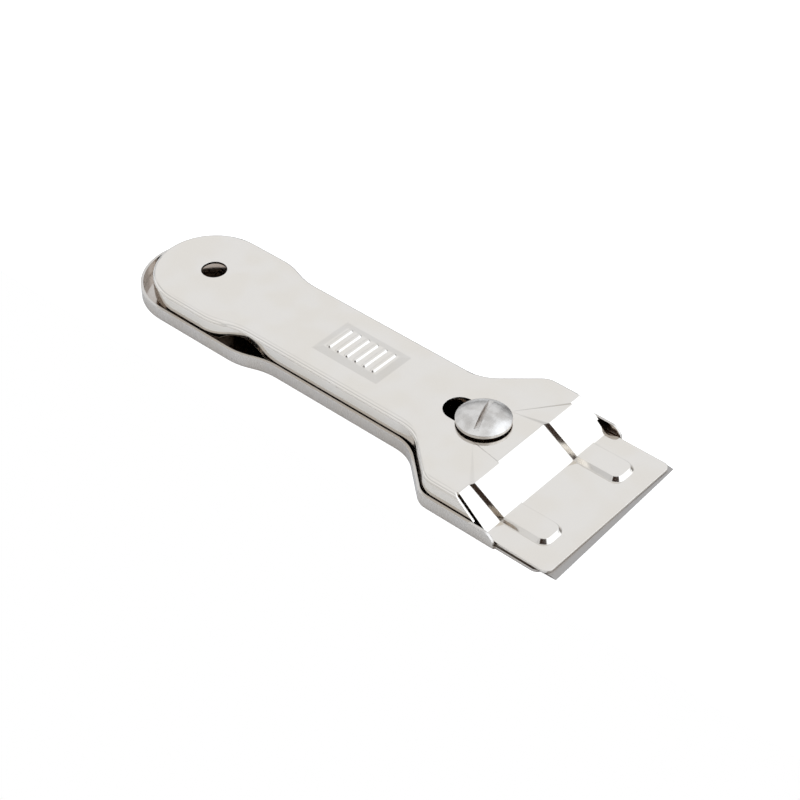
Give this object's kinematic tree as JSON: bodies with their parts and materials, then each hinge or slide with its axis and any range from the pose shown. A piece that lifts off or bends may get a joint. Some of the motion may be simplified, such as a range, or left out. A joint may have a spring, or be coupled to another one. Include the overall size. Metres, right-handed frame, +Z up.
{
  "type": "blade scraper",
  "caption": "Pressed-steel blade scraper: a base tray and a sliding cover with two ribs, clamped by a slotted screw over a wide thin blade.",
  "frame": {"origin": "under the middle of the tool's bounding box, on the surface it lies on", "axes": "+X towards the blade, +Y across the tool, +Z up out of the cover"},
  "size_m": [0.139, 0.045, 0.0112],
  "materials": {
    "nickel": "bright nickel plate over pressed steel",
    "blade_steel": "fine ground steel",
    "screw_nickel": "worn nickel plate with fine scratches",
    "zinc_steel": "turned steel"
  },
  "bodies": {
    "base": {"base_shell": "nickel", "blade": "blade_steel", "blade_stud_left": "zinc_steel", "blade_stud_right": "zinc_steel", "threaded_post": "zinc_steel"},
    "cover": {"cover_shell": "nickel"},
    "washer": {"screw_washer": "screw_nickel"},
    "screw": {"clamp_screw": "screw_nickel"}
  },
  "joints": [
    {"name": "cover_slide", "type": "slide", "parent": "base", "child": "cover", "axis": [1, 0, 0], "range_m": [0, 0.0067]},
    {"name": "screw_lift", "type": "slide", "parent": "base", "child": "washer", "axis": [0, 0, 1], "range_m": [0, 0.0012]},
    {"name": "screw_turn", "type": "hinge", "parent": "washer", "child": "screw", "pos_m": [0.03263, 0, 0.01], "axis": [0, 0, 1], "range_deg": [0, 540]}
  ],
  "couplings": [
    {"joint": "screw_turn", "follows": "screw_lift", "rad_per_m": 7854}
  ]
}
